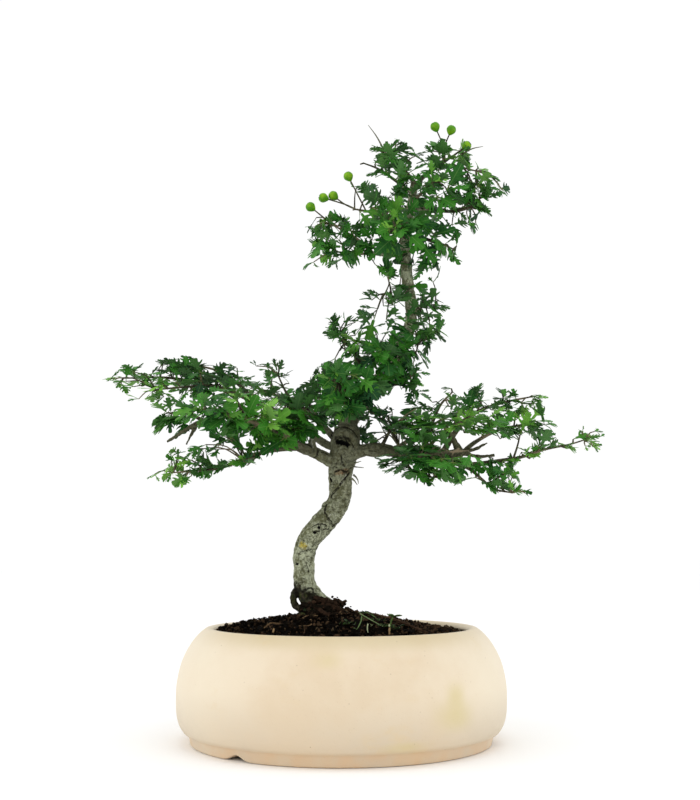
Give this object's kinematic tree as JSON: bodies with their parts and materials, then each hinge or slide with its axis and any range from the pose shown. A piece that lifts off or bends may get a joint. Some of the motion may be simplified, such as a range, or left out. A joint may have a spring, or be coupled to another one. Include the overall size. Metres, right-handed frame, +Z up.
{
  "type": "hawthorn bonsai",
  "caption": "Slender hawthorn bonsai with lobed leaves, green haws and a bare curved trunk, in a round cream pot with a narrow foot.",
  "frame": {"origin": "on the surface the pot stands on, under the middle of the whole plant's box; the pot's own axis is 9.9 mm to the -X side of it", "axes": "+Z up; the front is seen looking along +Y, with +X to the right"},
  "size_m": [0.3964, 0.2494, 0.4851],
  "materials": {
    "stoneware": "matte",
    "screen": "matte",
    "soil": "matte",
    "bark": "matte",
    "foliage": "satin",
    "haw": "gloss",
    "seedling": "matte"
  },
  "bodies": {
    "root": {"pot": "stoneware", "drain_screen": "screen", "soil": "soil", "tree": "bark", "spray_left_high": "foliage", "spray_left_outer": "foliage", "spray_left_top": "foliage", "spray_left_rise": "foliage", "spray_left_front": "foliage", "spray_left_bottom": "foliage", "spray_left_back": "foliage", "spray_left_end": "foliage", "spray_left_under": "foliage", "spray_left_inner": "foliage", "spray_knob_left": "foliage", "spray_knob_back": "foliage", "spray_right_long": "foliage", "spray_right_low": "foliage", "spray_right_up": "foliage", "spray_right_rise": "foliage", "spray_right_mid": "foliage", "spray_right_front": "foliage", "spray_right_drop": "foliage", "spray_right_back": "foliage", "spray_right_inner": "foliage", "spray_right_fore": "foliage", "spray_mid_left": "foliage", "spray_mid_front": "foliage", "spray_mid_right": "foliage", "spray_mid_back": "foliage", "spray_mid_low": "foliage", "spray_mid_fore": "foliage", "spray_mid_inner": "foliage", "spray_crown_twig_left": "foliage", "spray_crown_twig_right": "foliage", "spray_top_left_low": "foliage", "spray_top_left_mid": "foliage", "spray_top_left_wing": "foliage", "spray_top_front": "foliage", "spray_top_back": "foliage", "spray_top_back_left": "foliage", "spray_top_right_mid": "foliage", "spray_top_right_low": "foliage", "spray_top_right_high": "foliage", "spray_top_peak": "foliage", "spray_top_crest": "foliage", "spray_top_wing_right": "foliage", "spray_top_fore_right": "foliage", "haws_top": "haw", "haw_top_right": "haw", "haws_left": "haw", "haw_left_high": "haw", "haw_far_left": "haw", "weed_seedling": "seedling"}
  },
  "joints": []
}
